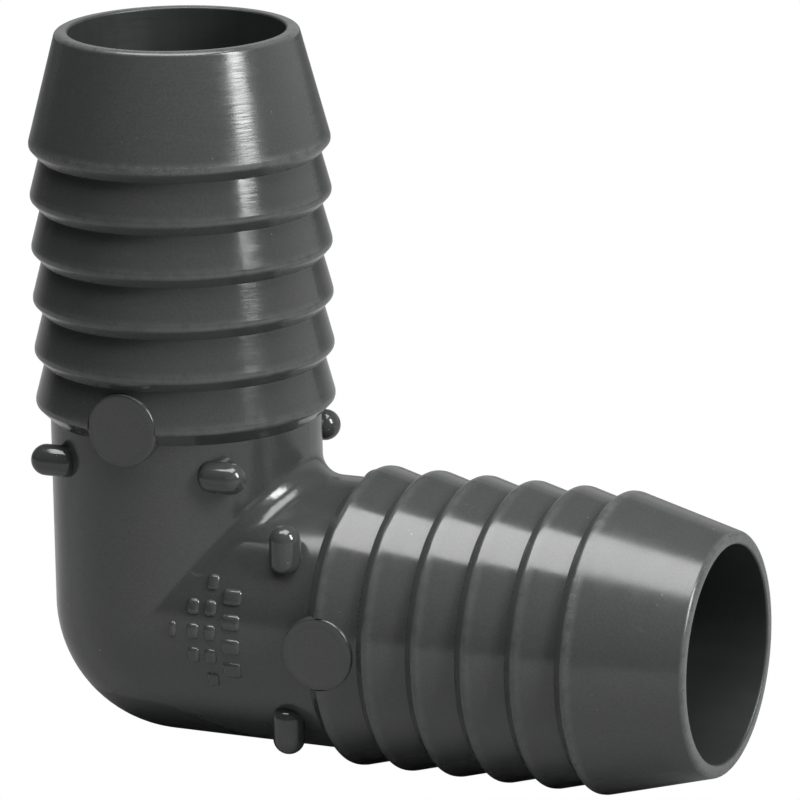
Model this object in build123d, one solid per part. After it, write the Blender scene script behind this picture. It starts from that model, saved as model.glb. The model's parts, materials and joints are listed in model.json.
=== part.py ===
from build123d import *

import math
import os

# A 90 degree insert elbow for soft polyethylene irrigation pipe, moulded in rigid PVC.
# Two equal barbed spigots leave a round-heeled body, and one bore runs through both.
#
# The origin is where the two spigot axes cross. +Z runs out along the top spigot and +X along
# the side spigot. The mould parts on the plane y = 0 and opens along Y, so the ejector pads
# and the raised marks face -Y.
#
# The real fitting is one moulding. Each region of it is a closed solid of its own here, and
# neighbours meet face to face without overlapping. A spigot is drawn once, standing on +Z;
# the side spigot is the same shape mirrored in the plane x = z.

# Bore and walls, from the inside outwards (millimetres).
BORE_RADIUS = 9.88
BODY_WALL = 2.54  # bore to the plain body between the two spigots
BARB_WALL = 2.92  # bore to the valley between two barbs
BARB_HEIGHT = 0.90  # valley to crest
BARB_BAND = 0.80  # depth of each barb ring below its valley, down to the spigot's core tube
MOUTH_WALL = 1.17  # bore to the outer edge of the spigot's end face

# Lengths along a spigot's axis, from the axes' crossing outwards.
SHOULDER_REACH = 17.50  # where the plain body ends and the barbs begin
SHOULDER_RUN = 1.50  # slope from the plain body up to the lowest crest
BARB_COUNT = 5  # rings below the nose; the nose carries one more crest
BARB_PITCH = 4.78
BARB_BACK = 1.20  # length of the steep back of a barb
CREST_LAND = 0.40  # narrow cylindrical land on each crest
NOSE_LENGTH = 10.25  # outermost crest to the end face

# Edges.
CREST_ROUND = 0.15
MOUTH_OUTER_ROUND = 0.35
MOUTH_INNER_ROUND = 0.20
CROTCH_ROUND = 2.20
CROTCH_SHARE = 0.95  # most of the limb beyond the crotch that its rounding may take up

# Four stop pegs beside each shoulder, which stop the pipe's clamp from reaching the body.
PEG_RADIUS = 1.45
PEG_LENGTH = 2.95  # flat inner end to the centre of the round end
PEG_INSET = 2.35  # body radius to the peg's axis, measured along Y
PEG_STANDOFF = 2.00  # body surface to the centre of the peg's round end
PEG_SETBACK = 2.98  # shoulder to the peg's axis
PEG_EDGE_ROUND = 0.95  # on the peg's inner end

# One flat ejector pad on the front of each shoulder.
PAD_RADIUS = 3.40
PAD_RISE = 0.45  # above the highest of the plain body and the valleys
PAD_ADVANCE = 1.40  # shoulder to the pad's centre

# Plain raised dashes on the front of the body, in columns that run along Z.
# A column is (shoulder to the column's middle, width along X, number of dashes).
MARK_COLUMNS = ((13.30, 0.80, 1), (11.30, 1.30, 3), (9.60, 1.30, 5), (7.55, 2.00, 4))
MARK_LENGTH = 1.60
MARK_SPACING = 2.30
MARK_MIDDLE = 0.60  # height of the middle of every column
MARK_RISE = 0.25

BODY_RADIUS = BORE_RADIUS + BODY_WALL
VALLEY_RADIUS = BORE_RADIUS + BARB_WALL
CREST_RADIUS = VALLEY_RADIUS + BARB_HEIGHT
CORE_RADIUS = VALLEY_RADIUS - BARB_BAND
MOUTH_RADIUS = BORE_RADIUS + MOUTH_WALL

LOWEST_CREST = SHOULDER_REACH + SHOULDER_RUN
NOSE_CREST = LOWEST_CREST + BARB_COUNT * BARB_PITCH
NOSE_FOOT = NOSE_CREST - BARB_BACK
MOUTH_REACH = NOSE_CREST + NOSE_LENGTH

CROTCH_FILLET = min(CROTCH_ROUND, CROTCH_SHARE * (SHOULDER_REACH - BODY_RADIUS))
PEG_OFFSET = BODY_RADIUS - PEG_INSET
PEG_END = math.sqrt(BODY_RADIUS**2 - PEG_OFFSET**2) + PEG_STANDOFF
PEG_HEIGHT = SHOULDER_REACH - PEG_SETBACK
PAD_FACE = max(BODY_RADIUS, VALLEY_RADIUS) + PAD_RISE
PAD_HEIGHT = SHOULDER_REACH + PAD_ADVANCE

MITRE_PLANE = Plane(origin=(0, 0, 0), x_dir=(0, 1, 0), z_dir=(1, 0, -1))


def column(radius, bottom, top):
    """A round solid on the Z axis between two heights."""
    return Pos(0, 0, (bottom + top) / 2) * Cylinder(radius, top - bottom)


def turned(points, rounds):
    """Revolve an outline of (radius, height) points about Z.

    rounds maps the number of a point to the radius that its corner is rounded to.
    """
    outline = make_face(Polyline(*[(radius, 0, height) for radius, height in points], close=True))
    for number, corner_round in rounds.items():
        radius, height = points[number]
        corner = outline.vertices().sort_by_distance((radius, 0, height))[0]
        outline = fillet(corner, corner_round)
    return revolve(outline, Axis.Z, 360)


def nose_profile():
    """The nose: a cone that carries the outermost crest, cut through the whole wall."""
    points = [
        (BORE_RADIUS, NOSE_FOOT),
        (VALLEY_RADIUS, NOSE_FOOT),
        (CREST_RADIUS, NOSE_CREST - CREST_LAND / 2),
        (CREST_RADIUS, NOSE_CREST + CREST_LAND / 2),
        (MOUTH_RADIUS, MOUTH_REACH),
        (BORE_RADIUS, MOUTH_REACH),
    ]
    rounds = {2: CREST_ROUND, 3: CREST_ROUND, 4: MOUTH_OUTER_ROUND, 5: MOUTH_INNER_ROUND}
    return points, rounds


def barb_profile(level):
    """A saw-toothed ring on the core tube. Level 0 is the lowest, beside the shoulder."""
    crest = LOWEST_CREST + level * BARB_PITCH
    foot_radius = VALLEY_RADIUS if level else BODY_RADIUS
    foot = crest - (BARB_BACK if level else SHOULDER_RUN)
    points = [
        (CORE_RADIUS, foot),
        (foot_radius, foot),
        (CREST_RADIUS, crest - CREST_LAND / 2),
        (CREST_RADIUS, crest + CREST_LAND / 2),
        (VALLEY_RADIUS, crest + BARB_PITCH - BARB_BACK),
        (CORE_RADIUS, crest + BARB_PITCH - BARB_BACK),
    ]
    return points, {2: CREST_ROUND, 3: CREST_ROUND}


def pad_bar(front):
    """A round bar along -Y on the pad's axis, from inside the wall out to y = -front."""
    middle = (BORE_RADIUS + front) / 2
    return Pos(0, -middle, PAD_HEIGHT) * Rot(X=90) * Cylinder(PAD_RADIUS, front - BORE_RADIUS)


def pad_solid():
    """A flat disc that stands on the plain body and on the core tube."""
    pad = pad_bar(PAD_FACE) - column(CORE_RADIUS, 0, MOUTH_REACH)
    return pad - column(BODY_RADIUS, 0, SHOULDER_REACH)


def peg_solid(x_side, y_side, body_skin):
    """A round-ended peg along X, whose side is sunk into the body.

    body_skin is the body's outer shape, which the peg stands on.
    """
    on_axis = Pos(0, y_side * PEG_OFFSET, PEG_HEIGHT)
    middle = x_side * (PEG_END - PEG_LENGTH / 2)
    rod = Rot(Y=x_side * 90) * Cylinder(PEG_RADIUS, PEG_LENGTH)
    inner_edge = rod.edges().filter_by(GeomType.CIRCLE).sort_by(Axis.X)[0 if x_side > 0 else -1]
    rod = on_axis * Pos(middle, 0, 0) * fillet(inner_edge, PEG_EDGE_ROUND)
    round_end = on_axis * Pos(x_side * PEG_END, 0, 0) * Sphere(PEG_RADIUS)
    peg = rod + round_end
    return peg - body_skin


def spigot_pieces(body_skin):
    """Every piece of one spigot that stands on +Z, by name."""
    pieces = {}
    pad_pocket = pad_bar(CREST_RADIUS + PAD_RISE)
    core = column(CORE_RADIUS, SHOULDER_REACH, NOSE_FOOT)
    pieces["core_tube"] = core - column(BORE_RADIUS, SHOULDER_REACH, NOSE_FOOT)
    pieces["nose_cone"] = turned(*nose_profile())
    for number in range(1, BARB_COUNT + 1):
        ring = turned(*barb_profile(BARB_COUNT - number))
        pieces[f"barb_{number}"] = ring - pad_pocket
    corners = [(-1, -1), (1, -1), (1, 1), (-1, 1)]
    for number, (x_side, y_side) in enumerate(corners, start=1):
        pieces[f"stop_peg_{number}"] = peg_solid(x_side, y_side, body_skin)
    pieces["ejector_pad"] = pad_solid()
    return pieces


def corner_solid(radius):
    """Two round limbs from the crossing to the shoulders, with a ball at their corner."""
    limb = column(radius, 0, SHOULDER_REACH)
    return limb + limb.mirror(MITRE_PLANE) + Sphere(radius)


def is_crotch_edge(edge):
    """Whether an edge lies in the plane x = z on the inner side of the corner."""
    middle = edge @ 0.5
    return middle.X > 0 and abs(middle.X - middle.Z) < 1e-6


def rounded_corner():
    """The body's outer shape: the plain corner with a ball heel and a rounded crotch."""
    outer = corner_solid(BODY_RADIUS)
    return fillet(outer.edges().filter_by(is_crotch_edge), CROTCH_FILLET)


def mark_dashes(body_skin):
    """Plain raised dashes on the side limb, with faces that follow its round surface."""
    shell = column(BODY_RADIUS + MARK_RISE, 0, SHOULDER_REACH).mirror(MITRE_PLANE) - body_skin
    dashes = {}
    for setback, width, count in MARK_COLUMNS:
        for place in range(count):
            height = MARK_MIDDLE + (place - (count - 1) / 2) * MARK_SPACING
            blank = Box(width, BODY_RADIUS, MARK_LENGTH)
            blank = Pos(SHOULDER_REACH - setback, -BODY_RADIUS, height) * blank
            dashes[f"mark_dash_{len(dashes) + 1}"] = shell & blank
    return dashes


def main():
    os.makedirs("parts", exist_ok=True)
    body_skin = rounded_corner()
    nodes = {"elbow_body": body_skin - corner_solid(BORE_RADIUS)}
    for name, solid in spigot_pieces(body_skin).items():
        nodes[f"top_{name}"] = solid
        nodes[f"side_{name}"] = solid.mirror(MITRE_PLANE)
    nodes.update(mark_dashes(body_skin))
    for name, solid in nodes.items():
        solid.label = name
        export_step(solid, f"parts/{name}.step")
        print(name, round(solid.volume, 1))


if __name__ == "__main__":
    main()
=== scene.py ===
import json
import logging
import math
from collections.abc import Callable, Iterator, Sequence
from contextlib import contextmanager
from dataclasses import dataclass, field
from enum import Enum

import bmesh
import bpy
from mathutils import Matrix, Vector


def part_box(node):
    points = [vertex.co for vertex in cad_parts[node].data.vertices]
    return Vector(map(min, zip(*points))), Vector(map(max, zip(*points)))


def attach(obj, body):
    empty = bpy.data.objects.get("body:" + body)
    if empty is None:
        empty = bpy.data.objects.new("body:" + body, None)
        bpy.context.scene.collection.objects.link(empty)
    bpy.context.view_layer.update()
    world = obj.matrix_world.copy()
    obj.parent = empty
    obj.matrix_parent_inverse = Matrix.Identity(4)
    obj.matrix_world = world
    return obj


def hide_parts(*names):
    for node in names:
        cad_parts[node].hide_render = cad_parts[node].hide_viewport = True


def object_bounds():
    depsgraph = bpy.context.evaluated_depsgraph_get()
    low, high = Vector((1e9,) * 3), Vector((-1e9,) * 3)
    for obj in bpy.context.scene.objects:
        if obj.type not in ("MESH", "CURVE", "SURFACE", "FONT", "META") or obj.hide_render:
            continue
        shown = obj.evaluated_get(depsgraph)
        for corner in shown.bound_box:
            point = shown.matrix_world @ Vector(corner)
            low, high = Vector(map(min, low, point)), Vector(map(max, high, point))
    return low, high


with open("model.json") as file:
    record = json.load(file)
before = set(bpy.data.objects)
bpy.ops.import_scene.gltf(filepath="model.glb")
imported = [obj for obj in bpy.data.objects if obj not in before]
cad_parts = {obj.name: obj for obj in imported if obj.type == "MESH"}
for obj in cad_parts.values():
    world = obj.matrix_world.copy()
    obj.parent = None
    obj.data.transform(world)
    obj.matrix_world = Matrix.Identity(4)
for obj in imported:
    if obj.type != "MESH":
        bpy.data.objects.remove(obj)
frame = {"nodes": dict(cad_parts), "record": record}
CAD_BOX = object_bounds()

# A 90 degree insert elbow for irrigation pipe, dressed as one moulding of rigid grey PVC.
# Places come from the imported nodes' boxes. The pieces of a limb are modelled standing on +Z;
# the side limb's pieces are the same, carried onto +X. Lengths are in metres.

LOG = logging.getLogger("insert_elbow")
MM = 0.001
BODY = "root"
RIGID_PVC_IOR = 1.52
ROUND_SEGMENTS = 256  # round every turned surface
CREASE_DEG = 35.0  # the sharpest turn that is still shaded smooth
SAME_PLACE = 2e-6  # how near two lengths are when they count as the same


# --------------------------------------------------------------------------------------
# Hand tools
# --------------------------------------------------------------------------------------


def hold(piece: bpy.types.Object) -> None:
    """Make one object the active and only selected one.

    Args:
        piece: The object to work on.
    """
    bpy.ops.object.select_all(action="DESELECT")
    piece.select_set(True)
    bpy.context.view_layer.objects.active = piece


@contextmanager
def editing(piece: bpy.types.Object) -> Iterator[None]:
    """Open one piece in edit mode, and close it again.

    Args:
        piece: The mesh object to shape.

    Yields:
        Nothing: the piece is open meanwhile.
    """
    hold(piece)
    bpy.ops.object.mode_set(mode="EDIT")
    yield
    bpy.ops.object.mode_set(mode="OBJECT")


def pick(test: Callable[[Vector], bool]) -> int:
    """Select the open mesh's vertices that pass a test, with what lies between them.

    Args:
        test: Says whether a vertex at that place is wanted.

    Returns:
        How many vertices are selected.
    """
    mesh = bmesh.from_edit_mesh(bpy.context.edit_object.data)
    for part in (*mesh.faces, *mesh.edges, *mesh.verts):
        part.select_set(False)
    wanted = [vertex for vertex in mesh.verts if test(vertex.co)]
    for vertex in wanted:
        vertex.select_set(True)
    mesh.select_flush(True)
    bmesh.update_edit_mesh(bpy.context.edit_object.data)
    return len(wanted)


def near(value: float, target: float, slack: float = SAME_PLACE) -> bool:
    """Whether two lengths are the same, within a small slack."""
    return abs(value - target) < slack


def extrude(step: Sequence[float]) -> None:
    """Extrude what is selected in the open mesh by one step."""
    bpy.ops.mesh.extrude_region_move(TRANSFORM_OT_translate={"value": tuple(step)})


def settle(piece: bpy.types.Object) -> None:
    """Put an object's place, turn and size into its mesh."""
    hold(piece)
    bpy.ops.object.transform_apply(location=True, rotation=True, scale=True)


def close_up(piece: bpy.types.Object, crease_deg: float = CREASE_DEG) -> None:
    """Finish a mesh: faces outwards, smooth between creases, flats left flat.

    Args:
        piece: The modelled object.
        crease_deg: The sharpest turn that is still shaded smooth.
    """
    settle(piece)
    with editing(piece):
        bpy.ops.mesh.select_all(action="SELECT")
        bpy.ops.mesh.remove_doubles(threshold=1e-6)
        bpy.ops.mesh.normals_make_consistent(inside=False)
    hold(piece)
    bpy.ops.object.shade_smooth_by_angle(angle=math.radians(crease_deg))
    bpy.ops.object.modifier_add(type="WEIGHTED_NORMAL")
    piece.modifiers[-1].keep_sharp = True
    bpy.ops.object.modifier_apply(modifier=piece.modifiers[-1].name)


def cut_away(
    piece: bpy.types.Object, radius: float, length: float, middle: Vector, lying: bool = False
) -> None:
    """Cut a round bar out of a piece, and finish the piece again.

    Args:
        piece: The piece that loses material.
        radius: The bar's radius.
        length: The bar's length.
        middle: The middle of the bar.
        lying: Whether the bar lies along Y. Otherwise it stands along Z.
    """
    bpy.ops.object.select_all(action="DESELECT")
    turn = (math.pi / 2, 0, 0) if lying else (0, 0, 0)
    bpy.ops.mesh.primitive_cylinder_add(
        vertices=ROUND_SEGMENTS, radius=radius, depth=length, location=middle, rotation=turn
    )
    bar = bpy.context.object
    hold(piece)
    bpy.ops.object.modifier_add(type="BOOLEAN")
    cut = piece.modifiers[-1]
    cut.operation, cut.object, cut.solver = "DIFFERENCE", bar, "EXACT"
    bpy.ops.object.modifier_apply(modifier=cut.name)
    bpy.data.objects.remove(bar)
    close_up(piece)


def carried(source: bpy.types.Object, name: str, move: Matrix) -> bpy.types.Object:
    """Copy a piece, with a mesh of its own, to another place.

    Args:
        source: The piece to copy.
        name: The copy's name.
        move: What carries the source to the copy's place.

    Returns:
        The copy, finished, with its object at the origin.
    """
    piece = bpy.data.objects.new(name, source.data.copy())
    piece.data.name = name
    bpy.context.scene.collection.objects.link(piece)
    piece.matrix_world = move
    close_up(piece)
    return piece


# --------------------------------------------------------------------------------------
# Sizes
# --------------------------------------------------------------------------------------


class Limb(Enum):
    """The two equal limbs of the elbow. The value is the first word of their nodes' names."""

    TOP = "top"
    SIDE = "side"

    @property
    def turn(self) -> Matrix:
        """What carries a piece that stands on +Z to this limb: x and z change places."""
        if self is Limb.TOP:
            return Matrix.Identity(4)
        return Matrix(((0, 0, 1, 0), (0, 1, 0, 0), (1, 0, 0, 0), (0, 0, 0, 1)))

    @property
    def pattern_turn(self) -> tuple[float, float, float]:
        """The turn of a Mapping node that brings this limb's axis to the pattern's Z."""
        return (0.0, 0.0, 0.0) if self is Limb.TOP else (0.0, -math.pi / 2, 0.0)


@dataclass(frozen=True)
class Sizes:
    """Sizes that several pieces share.

    Radii are measured from a limb's axis, and reaches along it from the axes' crossing.
    """

    body: float
    crest: float
    core: float
    shoulder: float
    pitch: float
    nose_foot: float
    mouth_reach: float
    bore: float
    barb_height: float = 0.90 * MM
    shoulder_run: float = 1.50 * MM
    barb_back: float = 1.20 * MM
    crest_land: float = 0.40 * MM
    mouth_wall: float = 1.17 * MM

    @property
    def valley(self) -> float:
        """The radius between two barbs."""
        return self.crest - self.barb_height

    @property
    def mouth(self) -> float:
        """The outer radius of the end face."""
        return self.bore + self.mouth_wall

    @classmethod
    def from_frame(cls) -> "Sizes":
        """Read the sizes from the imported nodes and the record.

        Returns:
            The sizes of this fitting.
        """
        lowest_barb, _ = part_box("top_barb_5")
        next_barb, next_barb_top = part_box("top_barb_4")
        next_but_one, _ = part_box("top_barb_3")
        nose_low, nose_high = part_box("top_nose_cone")
        bore = next(m for m in frame["record"]["mounts"] if m["name"] == "top_bore")
        return cls(
            body=-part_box("elbow_body")[0].x,
            crest=next_barb_top.x,
            core=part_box("top_core_tube")[1].x,
            shoulder=lowest_barb.z,
            pitch=next_but_one.z - next_barb.z,
            nose_foot=nose_low.z,
            mouth_reach=nose_high.z,
            bore=bore["dims"]["r_mm"] * MM,
        )


@dataclass(frozen=True)
class Corner:
    """One corner of a turned outline, with the size of the bevel that softens it."""

    radius: float
    height: float
    bevel: float = 0.0


# --------------------------------------------------------------------------------------
# Node groups
# --------------------------------------------------------------------------------------


class Graph:
    """A node tree that is filled one node at a time, laid out left to right."""

    def __init__(self, tree: bpy.types.NodeTree) -> None:
        """Take an empty or new node tree to fill."""
        self.tree = tree
        self.column = 0

    def node(self, kind: str, **settings: object) -> bpy.types.Node:
        """Add a node.

        Args:
            kind: The node's type, as Blender names it.
            **settings: Properties of the node to set.

        Returns:
            The new node.
        """
        made = self.tree.nodes.new(kind)
        for name, value in settings.items():
            setattr(made, name, value)
        made.location = (180 * self.column, 0)
        self.column += 1
        return made

    def feed(self, target: bpy.types.NodeSocket, source: object) -> None:
        """Link a socket to an input, or set the input's value.

        Args:
            target: The input.
            source: An output to link, or a number or colour to set.
        """
        if isinstance(source, bpy.types.NodeSocket):
            self.tree.links.new(source, target)
        else:
            target.default_value = source

    def math(self, operation: str, first: object, second: object = 0.0) -> bpy.types.NodeSocket:
        """Add a Math node and return its output."""
        made = self.node("ShaderNodeMath", operation=operation)
        self.feed(made.inputs[0], first)
        self.feed(made.inputs[1], second)
        return made.outputs[0]

    def ramp(
        self, value: object, low: object, high: object, to: tuple[float, float] = (0.0, 1.0)
    ) -> bpy.types.NodeSocket:
        """Map a value smoothly from one range to another.

        Args:
            value: What is mapped.
            low: The value that gives the first result.
            high: The value that gives the second result.
            to: The two results.

        Returns:
            The mapped value.
        """
        made = self.node("ShaderNodeMapRange", interpolation_type="SMOOTHSTEP")
        for number, source in enumerate((value, low, high, *to)):
            self.feed(made.inputs[number], source)
        return made.outputs[0]

    def noise(self, vector: object, scale: float, detail: float, rough: float = 0.55) -> bpy.types.NodeSocket:
        """Add a Noise texture and return its value."""
        made = self.node("ShaderNodeTexNoise")
        values = {"Vector": vector, "Scale": scale, "Detail": detail, "Roughness": rough}
        for name, source in values.items():
            self.feed(made.inputs[name], source)
        return made.outputs["Fac"]

    def stretch(
        self, vector: object, scale: Sequence[float], turn: Sequence[float] = (0, 0, 0)
    ) -> bpy.types.NodeSocket:
        """Turn and scale coordinates with a Mapping node.

        Args:
            vector: The coordinates.
            scale: The scale along each axis.
            turn: The turn about each axis, in radians.

        Returns:
            The mapped coordinates.
        """
        made = self.node("ShaderNodeMapping")
        self.feed(made.inputs["Vector"], vector)
        self.feed(made.inputs["Scale"], tuple(scale))
        self.feed(made.inputs["Rotation"], tuple(turn))
        return made.outputs[0]

    def blend(self, factor: object, first: object, second: object, how: str = "MIX") -> bpy.types.NodeSocket:
        """Mix two colours and return the result."""
        made = self.node("ShaderNodeMix", data_type="RGBA", blend_type=how)
        self.feed(made.inputs["Factor"], factor)
        self.feed(made.inputs[6], first)
        self.feed(made.inputs[7], second)
        return made.outputs[2]


class Effects:
    """The surface effects that the finishes share, each one a node group made once.

    The scales say how many cells of a pattern fit into a metre, along each axis where they differ.
    """

    FLECKS = 5200.0
    FINE_RINGS = (520, 520, 4200)
    COARSE_RINGS = (160, 160, 1500)
    RING_PATCHES = 260.0
    GRAIN = 4800.0
    FLOW = 330.0
    CLOUDS = 420.0
    WEAR_BREAKS = 900.0
    BORE_STREAKS = (1100, 1100, 60)
    SPECKS = 900.0
    SPECK_PATCHES = 300.0
    RUBS = (240, 2600, 420)
    RUB_TURN = (0.5, 0.9, 0.3)
    RUB_PATCHES = 120.0

    def __init__(self) -> None:
        """Build every group."""
        self.colour_drift = self.make_colour_drift()
        self.tool_marks = self.make_tool_marks()
        self.mould_grain = self.make_mould_grain()
        self.crest_wear = self.make_crest_wear()
        self.scuffs = self.make_scuffs()
        self.bore_shade = self.make_bore_shade()

    @staticmethod
    def start(name: str, inputs: dict[str, object], outputs: dict[str, str]) -> tuple[Graph, dict, dict]:
        """Make an empty group with its sockets.

        Args:
            name: The group's name.
            inputs: Each input's name and default, a number, or a tuple for a vector.
            outputs: Each output's name and socket type.

        Returns:
            The graph to fill, the group's input values by name, and where its results go.
        """
        tree = bpy.data.node_groups.new(name, "ShaderNodeTree")
        for label, default in inputs.items():
            kind = {3: "NodeSocketVector", 4: "NodeSocketColor"}.get(
                len(default) if isinstance(default, tuple) else 0, "NodeSocketFloat"
            )
            socket = tree.interface.new_socket(label, in_out="INPUT", socket_type=kind)
            socket.default_value = default
        for label, kind in outputs.items():
            tree.interface.new_socket(label, in_out="OUTPUT", socket_type=kind)
        graph = Graph(tree)
        given = graph.node("NodeGroupInput").outputs
        result = graph.node("NodeGroupOutput").inputs
        return graph, {s.name: s for s in given}, {s.name: s for s in result}

    def make_colour_drift(self) -> bpy.types.NodeTree:
        """The melt's slow change of colour, between a cooler and a warmer grey.

        Returns:
            A group that puts out a colour.
        """
        graph, given, result = self.start(
            "pvc_colour_drift",
            {
                "Vector": (0.0, 0.0, 0.0),
                "Cool": (0.05, 0.05, 0.05, 1.0),
                "Warm": (0.05, 0.05, 0.05, 1.0),
                "Scale": 90.0,
            },
            {"Color": "NodeSocketColor"},
        )
        broad = graph.noise(given["Vector"], 1.0, 3.0)
        graph.feed(broad.node.inputs["Scale"], given["Scale"])
        broad.node.inputs["Distortion"].default_value = 1.4
        share = graph.ramp(broad, 0.38, 0.62)
        mixed = graph.blend(share, given["Cool"], given["Warm"])
        fleck = graph.ramp(graph.noise(given["Vector"], self.FLECKS, 2.0), 0.30, 0.72, (0.90, 1.08))
        toned = graph.node("ShaderNodeVectorMath", operation="SCALE")
        graph.feed(toned.inputs[0], mixed)
        graph.feed(toned.inputs["Scale"], fleck)
        graph.feed(result["Color"], toned.outputs[0])
        return graph.tree

    def make_tool_marks(self) -> bpy.types.NodeTree:
        """Fine rings left by the lathe that cut the mould, broken up round the limb.

        Returns:
            A group that puts out a height, and a mask of where the rings are deep.
        """
        graph, given, result = self.start(
            "pvc_tool_marks",
            {"Vector": (0.0, 0.0, 0.0)},
            {"Height": "NodeSocketFloat", "Mask": "NodeSocketFloat"},
        )
        fine = graph.noise(graph.stretch(given["Vector"], self.FINE_RINGS), 1.0, 1.0, 0.5)
        coarse = graph.noise(graph.stretch(given["Vector"], self.COARSE_RINGS), 1.0, 2.0, 0.5)
        patches = graph.ramp(graph.noise(given["Vector"], self.RING_PATCHES, 2.0), 0.35, 0.65, (0.55, 1.0))
        rings = graph.math("ADD", graph.math("MULTIPLY", fine, 0.55), graph.math("MULTIPLY", coarse, 0.45))
        graph.feed(result["Height"], graph.math("MULTIPLY", rings, patches))
        graph.feed(result["Mask"], graph.ramp(rings, 0.40, 0.62))
        return graph.tree

    def make_mould_grain(self) -> bpy.types.NodeTree:
        """The faint texture of a moulded skin over a slow sink and flow of the wall.

        Returns:
            A group that puts out a height and a roughness mask.
        """
        graph, given, result = self.start(
            "pvc_mould_grain",
            {"Vector": (0.0, 0.0, 0.0)},
            {"Height": "NodeSocketFloat", "Mask": "NodeSocketFloat"},
        )
        grain = graph.noise(given["Vector"], self.GRAIN, 3.0, 0.6)
        flow = graph.noise(given["Vector"], self.FLOW, 2.0, 0.5)
        cloud = graph.noise(given["Vector"], self.CLOUDS, 4.0, 0.6)
        joined = graph.math("ADD", graph.math("MULTIPLY", grain, 0.35), graph.math("MULTIPLY", flow, 0.65))
        graph.feed(result["Height"], joined)
        graph.feed(result["Mask"], graph.ramp(cloud, 0.35, 0.68))
        return graph.tree

    def make_crest_wear(self) -> bpy.types.NodeTree:
        """Where handling has rubbed the crests and the mouth's rim, which stand furthest out.

        Returns:
            A group that puts out a mask.
        """
        graph, given, result = self.start(
            "pvc_crest_wear",
            {"Vector": (0.0, 0.0, 0.0), "Crest": 0.0137, "Reach": 0.05315, "Depth": 0.0002},
            {"Mask": "NodeSocketFloat"},
        )
        across = graph.stretch(given["Vector"], (1, 1, 0))
        length = graph.node("ShaderNodeVectorMath", operation="LENGTH")
        graph.feed(length.inputs[0], across)
        low = graph.math("SUBTRACT", given["Crest"], given["Depth"])
        crest = graph.ramp(length.outputs["Value"], low, given["Crest"])
        parts = graph.node("ShaderNodeSeparateXYZ")
        graph.feed(parts.inputs[0], given["Vector"])
        rim_low = graph.math("SUBTRACT", given["Reach"], graph.math("MULTIPLY", given["Depth"], 2.0))
        rim = graph.ramp(parts.outputs["Z"], rim_low, given["Reach"])
        broken = graph.ramp(graph.noise(given["Vector"], self.WEAR_BREAKS, 3.0), 0.30, 0.60, (0.35, 1.0))
        graph.feed(result["Mask"], graph.math("MULTIPLY", graph.math("MAXIMUM", crest, rim), broken))
        return graph.tree

    def make_bore_shade(self) -> bpy.types.NodeTree:
        """Where the wall faces the bore: painted shade darkens its colour there, with streaks along it, and
        the core pin left it rougher.

        Returns:
            A group that puts out a mask.
        """
        graph, given, result = self.start(
            "pvc_bore_shade", {"Vector": (0.0, 0.0, 0.0), "Bore": 0.00988}, {"Mask": "NodeSocketFloat"}
        )
        length = graph.node("ShaderNodeVectorMath", operation="LENGTH")
        graph.feed(length.inputs[0], graph.stretch(given["Vector"], (1, 1, 0)))
        edge = graph.math("ADD", given["Bore"], 0.00025)
        inside = graph.ramp(length.outputs["Value"], edge, graph.math("ADD", given["Bore"], 0.00005))
        streaks = graph.noise(graph.stretch(given["Vector"], self.BORE_STREAKS), 1.0, 2.0)
        graph.feed(result["Mask"], graph.math("MULTIPLY", inside, graph.ramp(streaks, 0.3, 0.7, (0.8, 1.0))))
        return graph.tree

    def make_scuffs(self) -> bpy.types.NodeTree:
        """Sparse specks of dust, and short pale rubs from other fittings in the box.

        Returns:
            A group that puts out one mask for the dust and one for the rubs.
        """
        graph, given, result = self.start(
            "pvc_scuffs",
            {"Vector": (0.0, 0.0, 0.0)},
            {"Dust": "NodeSocketFloat", "Rubs": "NodeSocketFloat"},
        )
        cells = graph.node("ShaderNodeTexVoronoi", feature="F1")
        graph.feed(cells.inputs["Vector"], given["Vector"])
        graph.feed(cells.inputs["Scale"], self.SPECKS)
        speck = graph.ramp(cells.outputs["Distance"], 0.09, 0.03)
        sparse = graph.ramp(graph.noise(given["Vector"], self.SPECK_PATCHES, 1.0), 0.60, 0.66)
        graph.feed(result["Dust"], graph.math("MULTIPLY", speck, sparse))
        turned = graph.stretch(given["Vector"], self.RUBS, self.RUB_TURN)
        rub = graph.ramp(graph.noise(turned, 1.0, 2.0), 0.70, 0.78)
        where = graph.ramp(graph.noise(given["Vector"], self.RUB_PATCHES, 2.0), 0.50, 0.62)
        graph.feed(result["Rubs"], graph.math("MULTIPLY", rub, where))
        return graph.tree


# --------------------------------------------------------------------------------------
# Finishes
# --------------------------------------------------------------------------------------


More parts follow.
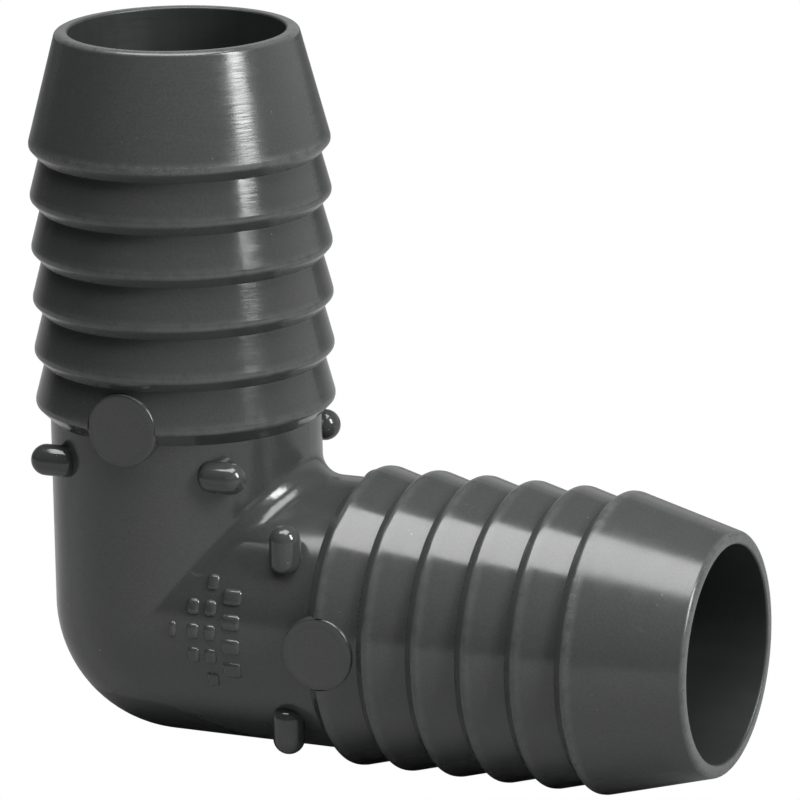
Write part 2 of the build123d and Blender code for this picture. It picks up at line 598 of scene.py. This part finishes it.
@dataclass(frozen=True)
class PvcFinish:
    """One surface of the moulding, as its part of the mould left it.

    Heights are the depths of the bump, in metres.
    """

    name: str
    roughness: float = 0.20
    roughness_spread: float = 0.08
    ring_height: float = 4e-6
    grain_height: float = 1.6e-6
    wear: float = 0.6
    rub: float = 0.4
    dust_share: float = 0.5
    grain_share: float = 0.6
    rub_roughness: float = 0.18
    inner_roughness: float = 0.16
    cool: tuple[float, float, float, float] = (0.0480, 0.0510, 0.0507, 1.0)
    warm: tuple[float, float, float, float] = (0.0493, 0.0515, 0.0500, 1.0)
    worn: tuple[float, float, float, float] = (0.115, 0.120, 0.122, 1.0)
    dust: tuple[float, float, float, float] = (0.30, 0.30, 0.29, 1.0)
    # inner is painted shade: the colour that darkens the wall facing the bore, standing in for the shade
    # inside the tube.
    inner: tuple[float, float, float, float] = (0.027, 0.029, 0.029, 1.0)

    def material(self, limb: Limb, effects: Effects, sizes: Sizes) -> bpy.types.Material:
        """Build the finish for one limb, or return it if it is there already.

        Args:
            limb: The limb whose axis the tool marks go round.
            effects: The shared node groups.
            sizes: Where the crests and the mouth are.

        Returns:
            The material.
        """
        title = f"{self.name}_{limb.value}"
        if title in bpy.data.materials:
            return bpy.data.materials[title]
        made = bpy.data.materials.new(title)
        made.use_nodes = True
        made.node_tree.nodes.clear()
        graph = Graph(made.node_tree)
        place = graph.node("ShaderNodeTexCoord").outputs["Object"]
        along = graph.stretch(place, (1, 1, 1), limb.pattern_turn)

        def group(tree: bpy.types.NodeTree, **values: object) -> dict[str, bpy.types.NodeSocket]:
            """Place a shared group, set its inputs and return its outputs by name."""
            used = graph.node("ShaderNodeGroup")
            used.node_tree = tree
            graph.feed(used.inputs["Vector"], along)
            for label, value in values.items():
                graph.feed(used.inputs[label], value)
            return {socket.name: socket for socket in used.outputs}

        drift = group(effects.colour_drift, Cool=self.cool, Warm=self.warm)
        rings = group(effects.tool_marks)
        grain = group(effects.mould_grain)
        wear = group(effects.crest_wear, Crest=sizes.crest, Reach=sizes.mouth_reach)
        marks = group(effects.scuffs)
        inside = group(effects.bore_shade, Bore=sizes.bore)

        worn = graph.math("MULTIPLY", wear["Mask"], self.wear)
        rubbed = graph.math("MAXIMUM", worn, graph.math("MULTIPLY", marks["Rubs"], self.rub))
        colour = graph.blend(rubbed, drift["Color"], self.worn)
        colour = graph.blend(graph.math("MULTIPLY", marks["Dust"], self.dust_share), colour, self.dust)
        # Painted shade: the wall facing the bore takes the darker inner colour, as the shade inside the tube.
        colour = graph.blend(inside["Mask"], colour, self.inner)

        spread = graph.math("MULTIPLY", grain["Mask"], self.grain_share)
        spread = graph.math("ADD", spread, graph.math("MULTIPLY", rings["Mask"], 1 - self.grain_share))
        rough = graph.math("MULTIPLY_ADD", spread, self.roughness_spread)
        graph.feed(rough.node.inputs[2], self.roughness)
        rough = graph.math("ADD", rough, graph.math("MULTIPLY", rubbed, self.rub_roughness))
        rough = graph.math("ADD", rough, graph.math("MULTIPLY", inside["Mask"], self.inner_roughness))

        height = graph.math("MULTIPLY", rings["Height"], self.ring_height)
        height = graph.math("ADD", height, graph.math("MULTIPLY", grain["Height"], self.grain_height))
        bump = graph.node("ShaderNodeBump")
        bump.inputs["Strength"].default_value = 1.0
        bump.inputs["Distance"].default_value = 1.0
        graph.feed(bump.inputs["Height"], height)

        shader = graph.node("ShaderNodeBsdfPrincipled")
        shader.inputs["IOR"].default_value = RIGID_PVC_IOR
        graph.feed(shader.inputs["Base Color"], colour)
        graph.feed(shader.inputs["Roughness"], rough)
        graph.feed(shader.inputs["Normal"], bump.outputs[0])
        out = graph.node("ShaderNodeOutputMaterial")
        graph.feed(out.inputs["Surface"], shader.outputs[0])
        return made


POLISHED = PvcFinish("pvc_polished", roughness=0.10, roughness_spread=0.05, ring_height=0.0, wear=0.0)
BODY_SKIN = PvcFinish("pvc_body", roughness=0.16, roughness_spread=0.05, ring_height=0.0, wear=0.0)
TURNED = PvcFinish("pvc_turned", roughness=0.11, roughness_spread=0.07, ring_height=6e-6, wear=0.25)
NOSE = PvcFinish("pvc_nose", roughness=0.17, ring_height=16e-6, wear=0.45)
BORE = PvcFinish("pvc_bore", roughness=0.20, ring_height=3e-6, wear=0.0)


# --------------------------------------------------------------------------------------
# The moulding
# --------------------------------------------------------------------------------------


@dataclass
class Moulding:
    """What every sub-assembly of the elbow shares: its sizes, its effects and how it is dressed."""

    sizes: Sizes
    effects: Effects
    made: list[str] = field(default_factory=list, init=False)

    def dress(self, piece: bpy.types.Object, finish: PvcFinish, limb: Limb) -> None:
        """Give a piece its material, in its first slot.

        Args:
            piece: A new piece or a CAD node.
            finish: The surface it has.
            limb: The limb that it belongs to.
        """
        material = finish.material(limb, self.effects, self.sizes)
        if piece.data.materials:
            piece.data.materials[0] = material
        else:
            piece.data.materials.append(material)

    def mount(self, piece: bpy.types.Object, finish: PvcFinish, limb: Limb, *nodes: str) -> None:
        """Finish a new piece: its material, its body and what it stands for.

        Args:
            piece: The new piece.
            finish: The surface it has.
            limb: The limb that it belongs to.
            *nodes: The CAD nodes that it replaces.
        """
        self.dress(piece, finish, limb)
        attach(piece, BODY)
        if nodes:
            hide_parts(*nodes)
        self.made.append(piece.name)
        LOG.info("%s: %d faces", piece.name, len(piece.data.polygons))


@dataclass
class Spigot(Moulding):
    """One barbed limb: its nose, five barb rings, four stop pegs and the ejector pad."""

    segments: int = ROUND_SEGMENTS
    bevel_steps: int = 4
    peg_segments: int = 48
    peg_edge_steps: int = 6
    pad_segments: int = 96
    crest_bevel: float = 0.14 * MM
    mouth_bevel: float = 0.38 * MM
    bore_bevel: float = 0.20 * MM
    ridge: float = 0.015 * MM
    barbs: int = 5
    peg_edge: float = 0.95 * MM
    peg_root: float = 0.45 * MM
    pad_edge: float = 0.24 * MM
    witness_inset: float = 0.80 * MM
    witness_width: float = 0.09 * MM
    witness_depth: float = 0.02 * MM
    pocket_spare: float = 0.50 * MM

    def turned(self, name: str, outline: Sequence[Corner]) -> bpy.types.Object:
        """Raise a closed ring about Z from circle to circle, and bevel its corners.

        Args:
            name: The piece's name.
            outline: The corners of its section, in order round it.

        Returns:
            The ring, with the mould's parting line raised down both sides.
        """
        first, last = outline[0], outline[-1]
        bpy.ops.object.select_all(action="DESELECT")
        bpy.ops.mesh.primitive_circle_add(
            vertices=self.segments, radius=first.radius, location=(0, 0, first.height)
        )
        ring = bpy.context.object
        ring.name = ring.data.name = name
        settle(ring)
        with editing(ring):
            bpy.ops.mesh.select_all(action="SELECT")
            for before, corner in zip(outline, outline[1:]):
                extrude((0, 0, corner.height - before.height))
                scale = corner.radius / before.radius
                bpy.ops.transform.resize(value=(scale, scale, 1), center_override=(0, 0, corner.height))
            pick(lambda at: any(self.on(corner, at) for corner in (first, last)))
            bpy.ops.mesh.bridge_edge_loops()
            for corner in outline:
                if corner.bevel and pick(lambda at: self.on(corner, at)):
                    bpy.ops.mesh.bevel(offset=corner.bevel, segments=self.bevel_steps, affect="EDGES")
            pick(lambda at: near(at.y, 0.0) and abs(at.x) > self.sizes.mouth - self.mouth_bevel)
            spread = 1 + self.ridge / self.sizes.crest
            bpy.ops.transform.resize(value=(spread, 1, 1), center_override=(0, 0, 0))
        close_up(ring)
        return ring

    @staticmethod
    def on(corner: Corner, at: Vector) -> bool:
        """Whether a vertex is on the circle that a corner draws."""
        return near(at.z, corner.height) and near(math.hypot(at.x, at.y), corner.radius)

    def barb(self, name: str, foot: Corner, crest: float) -> bpy.types.Object:
        """Model one barb ring.

        Args:
            name: The piece's name.
            foot: Where the barb's back rises from.
            crest: The reach of its crest.

        Returns:
            The ring.
        """
        own = self.sizes
        top = crest + own.pitch - own.barb_back
        half = own.crest_land / 2
        return self.turned(name, [
            Corner(own.core, foot.height),
            foot,
            Corner(own.crest, crest - half, self.crest_bevel),
            Corner(own.crest, crest + half, self.crest_bevel),
            Corner(own.valley, top),
            Corner(own.core, top),
        ])

    def make_barbs(self) -> None:
        """Model the lowest ring and the one above it, and copy that one up the limb."""
        own = self.sizes
        lowest = own.shoulder + own.shoulder_run
        low = self.barb("top_barb_ring_5", Corner(own.body, own.shoulder), lowest)
        pad_low, pad_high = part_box("top_ejector_pad")
        outside = own.crest + self.pocket_spare
        middle = Vector((0, -(own.bore + outside) / 2, (pad_low.z + pad_high.z) / 2))
        cut_away(low, (pad_high.x - pad_low.x) / 2, outside - own.bore, middle, lying=True)
        crest = lowest + own.pitch
        rings = [low, self.barb("top_barb_ring_4", Corner(own.valley, crest - own.barb_back), crest)]
        for number in range(self.barbs - 2, 0, -1):
            lift = Matrix.Translation((0, 0, (self.barbs - 1 - number) * own.pitch))
            rings.append(carried(rings[1], f"top_barb_ring_{number}", lift))
        for ring, number in zip(rings, range(self.barbs, 0, -1)):
            self.on_both_limbs(ring, TURNED, f"barb_{number}")

    def make_nose(self) -> None:
        """Model the cone that carries the outermost crest and ends at the mouth."""
        own = self.sizes
        crest = own.nose_foot + own.barb_back
        half = own.crest_land / 2
        nose = self.turned("top_nose", [
            Corner(own.bore, own.nose_foot),
            Corner(own.valley, own.nose_foot),
            Corner(own.crest, crest - half, self.crest_bevel),
            Corner(own.crest, crest + half, self.crest_bevel),
            Corner(own.mouth, own.mouth_reach, self.mouth_bevel),
            Corner(own.bore, own.mouth_reach, self.bore_bevel),
        ])
        self.on_both_limbs(nose, NOSE, "nose_cone")

    def make_peg(self, name: str) -> bpy.types.Object:
        """Model the stop peg in front on the far side: a round-ended rod along X.

        It is sunk into the body's side, so its inner part is cut away inside the wall.

        Args:
            name: The piece's name.

        Returns:
            The peg at +X and -Y.
        """
        low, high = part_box("top_stop_peg_2")
        radius = (high.z - low.z) / 2
        end = Vector((high.x - radius, low.y + radius, (low.z + high.z) / 2))
        bpy.ops.object.select_all(action="DESELECT")
        bpy.ops.mesh.primitive_uv_sphere_add(
            segments=self.peg_segments, ring_count=self.peg_segments // 2, radius=radius,
            location=end, rotation=(0, math.pi / 2, 0),
        )
        peg = bpy.context.object
        peg.name = peg.data.name = name
        settle(peg)
        wall = self.sizes.body - self.peg_root
        with editing(peg):
            pick(lambda at: at.x < end.x - 1e-6)
            bpy.ops.mesh.delete(type="VERT")
            pick(lambda at: near(at.x, end.x))
            extrude((low.x - end.x, 0, 0))
            bpy.ops.mesh.edge_face_add()
            pick(lambda at: near(at.x, low.x))
            bpy.ops.mesh.bevel(offset=self.peg_edge, segments=self.peg_edge_steps, affect="EDGES")
        close_up(peg)
        cut_away(peg, wall, 6 * radius, Vector((0, 0, end.z)))
        return peg

    def make_pegs(self) -> None:
        """Model one peg and carry it to the four corners."""
        peg = self.make_peg("top_peg_2")
        corners = {1: (-1, 1), 3: (1, -1), 4: (-1, -1)}
        pegs = {2: peg}
        for number, (x_side, y_side) in corners.items():
            pegs[number] = carried(peg, f"top_peg_{number}", Matrix.Diagonal((x_side, y_side, 1, 1)))
        for number, made in sorted(pegs.items()):
            self.on_both_limbs(made, POLISHED, f"stop_peg_{number}")

    def make_pad(self) -> None:
        """Model the flat pad that the ejector pin pushed on, with the pin's witness ring."""
        low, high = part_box("top_ejector_pad")
        radius = (high.x - low.x) / 2
        root = math.sqrt(self.sizes.body**2 - radius**2) - self.peg_root
        depth = -low.y - root
        bpy.ops.object.select_all(action="DESELECT")
        bpy.ops.mesh.primitive_cylinder_add(
            vertices=self.pad_segments, radius=radius, depth=depth,
            location=(0, low.y + depth / 2, (low.z + high.z) / 2), rotation=(math.pi / 2, 0, 0),
        )
        pad = bpy.context.object
        pad.name = pad.data.name = "top_pad"
        settle(pad)
        middle = (low.z + high.z) / 2
        rim = radius - self.witness_inset - self.witness_width
        with editing(pad):
            pick(lambda at: near(at.y, low.y))
            bpy.ops.mesh.bevel(offset=self.pad_edge, segments=self.bevel_steps, affect="EDGES")
            pick(lambda at: near(at.y, low.y))
            bpy.ops.mesh.inset(thickness=self.witness_inset - self.pad_edge)
            bpy.ops.mesh.inset(thickness=self.witness_width)
            bpy.ops.mesh.inset(thickness=self.witness_width)
            pick(lambda at: near(at.y, low.y) and near(math.hypot(at.x, at.z - middle), rim, 1e-5))
            bpy.ops.transform.translate(value=(0, self.witness_depth, 0))
        close_up(pad)
        self.on_both_limbs(pad, POLISHED, "ejector_pad")

    def on_both_limbs(self, piece: bpy.types.Object, finish: PvcFinish, node: str) -> None:
        """Mount a piece of the top limb, and its twin on the side limb.

        Args:
            piece: The finished piece, which stands on +Z and is named after the top limb.
            finish: The surface that it has.
            node: The end of the name of the CAD node that it replaces.
        """
        twin = carried(piece, piece.name.replace(Limb.TOP.value, Limb.SIDE.value, 1), Limb.SIDE.turn)
        for made, limb in ((piece, Limb.TOP), (twin, Limb.SIDE)):
            self.mount(made, finish, limb, f"{limb.value}_{node}")

    def build(self) -> None:
        """Make every piece of both limbs, and dress the core tubes that show in the bore."""
        self.make_nose()
        self.make_barbs()
        self.make_pegs()
        self.make_pad()
        for limb in Limb:
            self.dress(frame["nodes"][f"{limb.value}_core_tube"], BORE, limb)


@dataclass
class Corner90(Moulding):
    """The plain corner between the limbs, and its raised marks."""

    bar_fill: float = 0.98
    bar_bevel: float = 0.46 * MM
    bar_root: float = 0.80 * MM
    bar_bevel_steps: int = 5

    def make_mark(self, number: int) -> None:
        """Model one raised mark: a pillow-edged bar, leant to sit square on the round limb.

        Args:
            number: The number of the CAD dash that it replaces.
        """
        node = f"mark_dash_{number}"
        low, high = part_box(node)
        radius = -min(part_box(f"mark_dash_{n}")[0].y for n in range(1, MARKS + 1))
        depth = radius - self.sizes.body + self.bar_root
        height = (low.z + high.z) / 2
        bpy.ops.object.select_all(action="DESELECT")
        bpy.ops.mesh.primitive_cube_add(
            size=1, location=((low.x + high.x) / 2, -radius + depth / 2, 0),
            scale=((high.x - low.x) * self.bar_fill, depth, (high.z - low.z) * self.bar_fill),
        )
        bar = bpy.context.object
        bar.name = bar.data.name = f"mark_bar_{number}"
        settle(bar)
        with editing(bar):
            bpy.ops.mesh.select_all(action="SELECT")
            bpy.ops.mesh.bevel(
                offset=self.bar_bevel, segments=self.bar_bevel_steps, affect="EDGES", clamp_overlap=True
            )
        bar.matrix_world = Matrix.Rotation(-math.asin(height / radius), 4, "X")
        close_up(bar)
        self.mount(bar, POLISHED, Limb.SIDE, node)

    def build(self) -> None:
        """Dress the body, and make the marks."""
        self.dress(frame["nodes"]["elbow_body"], BODY_SKIN, Limb.TOP)
        for number in range(1, MARKS + 1):
            self.make_mark(number)


MARKS = sum(name.startswith("mark_dash_") for name in frame["nodes"])


def main() -> None:
    """Build and dress every piece, then light the set."""
    logging.basicConfig(level=logging.INFO, format="%(message)s")
    sizes = Sizes.from_frame()
    effects = Effects()
    Spigot(sizes, effects).build()
    Corner90(sizes, effects).build()
    Studio().build()


# --------------------------------------------------------------------------------------
# The set
# --------------------------------------------------------------------------------------


@dataclass(frozen=True)
class Studio:
    """A pale floor, an overhead softbox, a narrow strip light and the camera.

    Angles are in degrees. Azimuth goes from -Y towards +X, and elevation is above the horizon.
    """

    camera_azimuth: float = 24.49
    camera_elevation: float = 14.76
    camera_roll: float = -0.98
    camera_distance: float = 0.59426
    camera_right: float = 0.01927
    camera_up: float = 0.01788
    lens: float = 289.80
    floor_gap: float = 0.0002
    softbox_height: float = 0.60
    softbox_front: float = -0.270
    softbox_back: float = 0.115
    softbox_half_width: float = 0.30
    softbox_power: float = 6.0
    strip_distance: float = 0.50
    strip_azimuth: float = 81.0
    strip_elevation: float = 32.5
    strip_width: float = 0.12
    strip_height: float = 0.25
    strip_power: float = 2.25
    dark_side: float = 0.006
    light_side: float = 0.17
    glow: float = 0.56
    floor_tone: float = 0.34
    floor_size: float = 8.0
    strip_aim_height: float = 0.02
    wall_from: float = 0.06
    wall_full: float = 0.80
    wall_top: float = 0.55
    wall_bright_below: float = 0.15

    @staticmethod
    def direction(azimuth: float, elevation: float) -> Vector:
        """The unit vector that points that way from the origin."""
        turn, rise = math.radians(azimuth), math.radians(elevation)
        return Vector((math.sin(turn) * math.cos(rise), -math.cos(turn) * math.cos(rise), math.sin(rise)))

    def area(self, name: str, place: Vector, aim: Vector, size: tuple[float, float], power: float) -> None:
        """Add one rectangular light that the camera doesn't see.

        Args:
            name: The light's name.
            place: Where its middle is.
            aim: The point that it faces.
            size: Its width and height.
            power: Its power in watts.
        """
        bpy.ops.object.light_add(type="AREA", location=place)
        lamp = bpy.context.object
        lamp.name = name
        lamp.data.shape = "RECTANGLE"
        lamp.data.size, lamp.data.size_y = size
        lamp.data.energy = power
        lamp.rotation_euler = (aim - place).to_track_quat("-Z", "Y").to_euler()
        lamp.visible_camera = False

    def make_world(self) -> None:
        """A white ground for the camera, and a dim room with a paler wall behind for the rest."""
        world = bpy.data.worlds.new("studio_room")
        bpy.context.scene.world = world
        world.use_nodes = True
        world.node_tree.nodes.clear()
        graph = Graph(world.node_tree)
        way = graph.node("ShaderNodeTexCoord").outputs["Generated"]
        parts = graph.node("ShaderNodeSeparateXYZ")
        graph.feed(parts.inputs[0], way)
        behind = graph.ramp(parts.outputs["Y"], self.wall_from, self.wall_full)
        steepness = graph.math("ABSOLUTE", parts.outputs["Z"])
        level = graph.ramp(steepness, self.wall_top, self.wall_bright_below)
        wall = graph.math("MULTIPLY", behind, level)
        side = graph.ramp(parts.outputs["X"], -0.9, 0.8, (self.dark_side, self.light_side))
        strength = graph.math("MULTIPLY_ADD", wall, self.glow)
        graph.feed(strength.node.inputs[2], side)
        seen = graph.node("ShaderNodeLightPath").outputs["Is Camera Ray"]
        room = graph.node("ShaderNodeBackground")
        graph.feed(room.inputs["Strength"], strength)
        ground = graph.node("ShaderNodeBackground")
        mixed = graph.node("ShaderNodeMixShader")
        graph.feed(mixed.inputs[0], seen)
        graph.feed(mixed.inputs[1], room.outputs[0])
        graph.feed(ground.inputs["Color"], (1.0, 1.0, 1.0, 1.0))
        graph.feed(mixed.inputs[2], ground.outputs[0])
        out = graph.node("ShaderNodeOutputWorld")
        graph.feed(out.inputs["Surface"], mixed.outputs[0])

    def make_floor(self) -> None:
        """A plain sheet under the fitting, which the camera sees as pale as the room's end."""
        low, _ = CAD_BOX
        bpy.ops.object.select_all(action="DESELECT")
        bpy.ops.mesh.primitive_plane_add(size=self.floor_size, location=(0, 0, low.z - self.floor_gap))
        floor = bpy.context.object
        floor.name = "studio_floor"
        paper = bpy.data.materials.new("floor_paper")
        paper.use_nodes = True
        paper.node_tree.nodes.clear()
        graph = Graph(paper.node_tree)
        matt = graph.node("ShaderNodeBsdfDiffuse")
        graph.feed(matt.inputs["Color"], (self.floor_tone,) * 3 + (1.0,))
        pale = graph.node("ShaderNodeEmission")
        graph.feed(pale.inputs["Color"], (1.0, 1.0, 1.0, 1.0))
        mixed = graph.node("ShaderNodeMixShader")
        graph.feed(mixed.inputs[0], graph.node("ShaderNodeLightPath").outputs["Is Camera Ray"])
        graph.feed(mixed.inputs[1], matt.outputs[0])
        graph.feed(mixed.inputs[2], pale.outputs[0])
        out = graph.node("ShaderNodeOutputMaterial")
        graph.feed(out.inputs["Surface"], mixed.outputs[0])
        floor.data.materials.append(paper)

    def make_camera(self) -> None:
        """Stand the camera off the front of the corner, a little above it."""
        back = self.direction(self.camera_azimuth, self.camera_elevation)
        heading = math.radians(self.camera_azimuth)
        level = Vector((math.cos(heading), math.sin(heading), 0))
        upright = back.cross(level)
        turn = math.radians(self.camera_roll)
        right = level * math.cos(turn) + upright * math.sin(turn)
        up = upright * math.cos(turn) - level * math.sin(turn)
        bpy.ops.object.camera_add()
        camera = bpy.context.object
        camera.name = "product_camera"
        stand = Matrix((right, up, back)).transposed().to_4x4()
        stand.translation = back * self.camera_distance + right * self.camera_right + up * self.camera_up
        camera.matrix_world = stand
        camera.data.lens = self.lens
        camera.data.clip_start = 0.01
        bpy.context.scene.camera = camera

    def build(self) -> None:
        """Set the stage, the lights and the camera."""
        self.make_world()
        self.make_floor()
        middle_y = (self.softbox_front + self.softbox_back) / 2
        place = Vector((0.0, middle_y, self.softbox_height))
        size = (2 * self.softbox_half_width, self.softbox_back - self.softbox_front)
        self.area("overhead_softbox", place, Vector((0, middle_y, 0)), size, self.softbox_power)
        place = self.direction(self.strip_azimuth, self.strip_elevation) * self.strip_distance
        aim = Vector((0, 0, self.strip_aim_height))
        size = (self.strip_width, self.strip_height)
        self.area("side_strip", place, aim, size, self.strip_power)
        self.make_camera()
        bpy.context.scene.view_settings.view_transform = "Standard"
        LOG.info("studio: floor, softbox, strip and camera")


if __name__ == "__main__":
    main()
